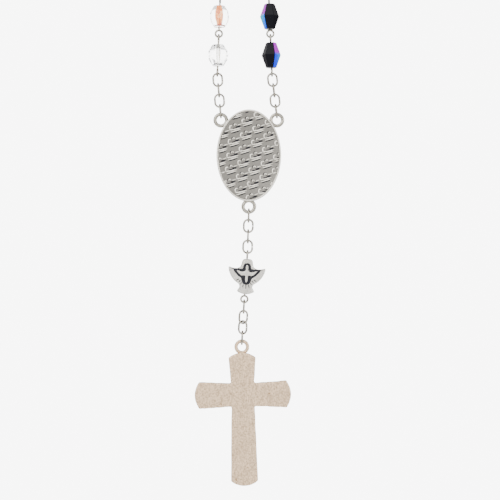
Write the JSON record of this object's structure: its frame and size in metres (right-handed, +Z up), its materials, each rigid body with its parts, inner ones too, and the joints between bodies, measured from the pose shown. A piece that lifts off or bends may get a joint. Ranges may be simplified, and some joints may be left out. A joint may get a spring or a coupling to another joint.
{
  "type": "rosary",
  "caption": "Prayer beads: a loop of faceted glass beads on wire pins joined at an oval medal, with a dove bead and a cross hanging below.",
  "frame": {"origin": "the point where the two top pins hook together, where the rosary hangs", "axes": "+Z up, the strands hang along -Z; +X across the two strands; the backs of the medal and of the cross face -Y"},
  "size_m": [0.029, 0.0062, 0.4803],
  "materials": {
    "wire": "polished silver-coloured wire",
    "clear_glass": "cut glass, clear with an apricot coat",
    "black_glass": "cut black glass with an iridescent coat",
    "medal_metal": "darkened antique silver",
    "dove_metal": "matte cast silver",
    "cross_metal": "matte, finely brushed, warm grey"
  },
  "bodies": {
    "crown": {"crown_pins": "wire", "crown_left_beads": "clear_glass", "crown_right_beads": "black_glass"},
    "top_row": {"top_row_pins": "wire", "top_row_left_beads": "clear_glass", "top_row_right_beads": "black_glass"},
    "upper_section_head": {"upper_section_upper_links": "wire"},
    "upper_doves": {"upper_dove_pins": "wire", "upper_dove_beads": "dove_metal"},
    "upper_section_foot": {"upper_section_lower_links": "wire"},
    "second_high_row": {"second_high_row_pins": "wire", "second_high_row_left_beads": "clear_glass", "second_high_row_right_beads": "black_glass"},
    "second_mid_row": {"second_mid_row_pins": "wire", "second_mid_row_left_beads": "clear_glass", "second_mid_row_right_beads": "black_glass"},
    "second_low_row": {"second_low_row_pins": "wire", "second_low_row_left_beads": "clear_glass", "second_low_row_right_beads": "black_glass"},
    "lower_section_head": {"lower_section_upper_links": "wire"},
    "lower_doves": {"lower_dove_pins": "wire", "lower_dove_beads": "dove_metal"},
    "lower_section_foot": {"lower_section_lower_links": "wire"},
    "high_row": {"high_row_pins": "wire", "high_row_left_beads": "clear_glass", "high_row_right_beads": "black_glass"},
    "mid_row": {"mid_row_pins": "wire", "mid_row_left_beads": "clear_glass", "mid_row_right_beads": "black_glass"},
    "low_row": {"low_row_pins": "wire", "low_row_left_beads": "clear_glass", "low_row_right_beads": "black_glass"},
    "pins_1": {"left_pin_1": "wire", "right_pin_1": "wire"},
    "left_bead_1": {"left_bead_1": "clear_glass"},
    "right_bead_1": {"right_bead_1": "black_glass"},
    "pins_2": {"left_pin_2": "wire", "right_pin_2": "wire"},
    "left_bead_2": {"left_bead_2": "clear_glass"},
    "right_bead_2": {"right_bead_2": "black_glass"},
    "links_1": {"left_link_1": "wire", "right_link_1": "wire"},
    "links_2": {"left_link_2": "wire", "right_link_2": "wire"},
    "links_3": {"left_link_3": "wire", "right_link_3": "wire"},
    "links_4": {"left_link_4": "wire", "right_link_4": "wire"},
    "medal": {"medal": "medal_metal"},
    "link_a": {"link_a": "wire"},
    "link_b": {"link_b": "wire"},
    "link_c": {"link_c": "wire"},
    "link_d": {"link_d": "wire"},
    "dove_pin": {"dove_pin": "wire"},
    "dove_bead": {"dove_bead": "dove_metal"},
    "link_e": {"link_e": "wire"},
    "link_f": {"link_f": "wire"},
    "link_g": {"link_g": "wire"},
    "link_h": {"link_h": "wire"},
    "crucifix": {"crucifix": "cross_metal"}
  },
  "joints": [
    {"name": "cross_swing", "type": "hinge", "parent": "link_h", "child": "crucifix", "pos_m": [-0.0011, 0, -0.43517], "axis": [1, 0, 0], "range_deg": [-40, 40]},
    {"name": "link_h_swing", "type": "hinge", "parent": "link_g", "child": "link_h", "pos_m": [-0.00093, 0, -0.43228], "axis": [0, 1, 0], "range_deg": [-35, 35]},
    {"name": "link_g_swing", "type": "hinge", "parent": "link_f", "child": "link_g", "pos_m": [-0.00075, 0, -0.42984], "axis": [0.866, 0.5, 0], "range_deg": [-30, 30]},
    {"name": "link_f_swing", "type": "hinge", "parent": "link_e", "child": "link_f", "pos_m": [-0.00057, 0, -0.42672], "axis": [0, -1, 0], "range_deg": [-35, 35]},
    {"name": "link_e_swing", "type": "hinge", "parent": "dove_pin", "child": "link_e", "pos_m": [-0.0004, 0, -0.4236], "axis": [1, 0, 0], "range_deg": [-35, 35]},
    {"name": "dove_pin_swing", "type": "hinge", "parent": "link_d", "child": "dove_pin", "pos_m": [0.0006, 0, -0.40878], "axis": [-1, 0, 0], "range_deg": [-35, 35]},
    {"name": "dove_spin", "type": "hinge", "parent": "dove_pin", "child": "dove_bead", "pos_m": [0.0001, 0, -0.41585], "axis": [0.0673, 0, 0.9977], "continuous": true},
    {"name": "link_d_swing", "type": "hinge", "parent": "link_c", "child": "link_d", "pos_m": [0.0007, 0, -0.40566], "axis": [0, 1, 0], "range_deg": [-35, 35]},
    {"name": "link_c_swing", "type": "hinge", "parent": "link_b", "child": "link_c", "pos_m": [0.0008, 0, -0.40254], "axis": [1, 0, 0], "range_deg": [-35, 35]},
    {"name": "link_b_swing", "type": "hinge", "parent": "link_a", "child": "link_b", "pos_m": [0.0009, 0, -0.39942], "axis": [0, -1, 0], "range_deg": [-35, 35]},
    {"name": "link_a_swing", "type": "hinge", "parent": "medal", "child": "link_a", "pos_m": [0.001, 0, -0.39652], "axis": [-1, 0, 0], "range_deg": [-35, 35]},
    {"name": "medal_swing", "type": "hinge", "parent": "links_4", "child": "medal", "pos_m": [0, 0, -0.36717], "axis": [1, 0, 0], "range_deg": [-35, 35]},
    {"name": "links_4_swing", "type": "hinge", "parent": "links_3", "child": "links_4", "pos_m": [0, 0, -0.36496], "axis": [-1, 0, 0], "range_deg": [-30, 30]},
    {"name": "links_3_swing", "type": "hinge", "parent": "links_2", "child": "links_3", "pos_m": [0, 0, -0.36116], "axis": [1, 0, 0], "range_deg": [-30, 30]},
    {"name": "links_2_swing", "type": "hinge", "parent": "links_1", "child": "links_2", "pos_m": [0, 0, -0.35872], "axis": [-1, 0, 0], "range_deg": [-30, 30]},
    {"name": "links_1_swing", "type": "hinge", "parent": "pins_2", "child": "links_1", "pos_m": [0, 0, -0.35492], "axis": [1, 0, 0], "range_deg": [-30, 30]},
    {"name": "pins_2_swing", "type": "hinge", "parent": "pins_1", "child": "pins_2", "pos_m": [0, 0, -0.34398], "axis": [-1, 0, 0], "range_deg": [-30, 30]},
    {"name": "left_bead_2_spin", "type": "hinge", "parent": "pins_2", "child": "left_bead_2", "pos_m": [-0.00824, 0, -0.34945], "axis": [0.0365, 0, 0.9993], "continuous": true},
    {"name": "right_bead_2_spin", "type": "hinge", "parent": "pins_2", "child": "right_bead_2", "pos_m": [0.00771, 0, -0.34945], "axis": [-0.0408, 0, 0.9992], "continuous": true},
    {"name": "left_bead_1_spin", "type": "hinge", "parent": "pins_1", "child": "left_bead_1", "pos_m": [-0.00781, 0, -0.33783], "axis": [0.0365, 0, 0.9993], "continuous": true},
    {"name": "right_bead_1_spin", "type": "hinge", "parent": "pins_1", "child": "right_bead_1", "pos_m": [0.00724, 0, -0.33783], "axis": [-0.0408, 0, 0.9992], "continuous": true},
    {"name": "pins_1_swing", "type": "hinge", "parent": "low_row", "child": "pins_1", "pos_m": [0, 0, -0.33236], "axis": [1, 0, 0], "range_deg": [-30, 30]},
    {"name": "low_row_swing", "type": "hinge", "parent": "mid_row", "child": "low_row", "pos_m": [0, 0, -0.30912], "axis": [-1, 0, 0], "range_deg": [-25, 25]},
    {"name": "mid_row_swing", "type": "hinge", "parent": "high_row", "child": "mid_row", "pos_m": [0, 0, -0.27426], "axis": [1, 0, 0], "range_deg": [-25, 25]},
    {"name": "high_row_swing", "type": "hinge", "parent": "lower_section_foot", "child": "high_row", "pos_m": [0, 0, -0.2394], "axis": [-1, 0, 0], "range_deg": [-25, 25]},
    {"name": "lower_section_foot_swing", "type": "hinge", "parent": "lower_doves", "child": "lower_section_foot", "pos_m": [0, 0, -0.22936], "axis": [1, 0, 0], "range_deg": [-25, 25]},
    {"name": "lower_doves_swing", "type": "hinge", "parent": "lower_section_head", "child": "lower_doves", "pos_m": [0, 0, -0.21454], "axis": [-1, 0, 0], "range_deg": [-25, 25]},
    {"name": "lower_section_head_swing", "type": "hinge", "parent": "second_low_row", "child": "lower_section_head", "pos_m": [0, 0, -0.20586], "axis": [1, 0, 0], "range_deg": [-25, 25]},
    {"name": "second_low_row_swing", "type": "hinge", "parent": "second_mid_row", "child": "second_low_row", "pos_m": [0, 0, -0.15938], "axis": [-1, 0, 0], "range_deg": [-25, 25]},
    {"name": "second_mid_row_swing", "type": "hinge", "parent": "second_high_row", "child": "second_mid_row", "pos_m": [0, 0, -0.12452], "axis": [1, 0, 0], "range_deg": [-25, 25]},
    {"name": "second_high_row_swing", "type": "hinge", "parent": "upper_section_foot", "child": "second_high_row", "pos_m": [0, 0, -0.08966], "axis": [-1, 0, 0], "range_deg": [-25, 25]},
    {"name": "upper_section_foot_swing", "type": "hinge", "parent": "upper_doves", "child": "upper_section_foot", "pos_m": [0, 0, -0.07962], "axis": [1, 0, 0], "range_deg": [-25, 25]},
    {"name": "upper_doves_swing", "type": "hinge", "parent": "upper_section_head", "child": "upper_doves", "pos_m": [0, 0, -0.0648], "axis": [-1, 0, 0], "range_deg": [-25, 25]},
    {"name": "upper_section_head_swing", "type": "hinge", "parent": "top_row", "child": "upper_section_head", "pos_m": [0, 0, -0.05612], "axis": [1, 0, 0], "range_deg": [-25, 25]},
    {"name": "top_row_swing", "type": "hinge", "parent": "crown", "child": "top_row", "pos_m": [0, 0, -0.02126], "axis": [-1, 0, 0], "range_deg": [-25, 25]}
  ]
}
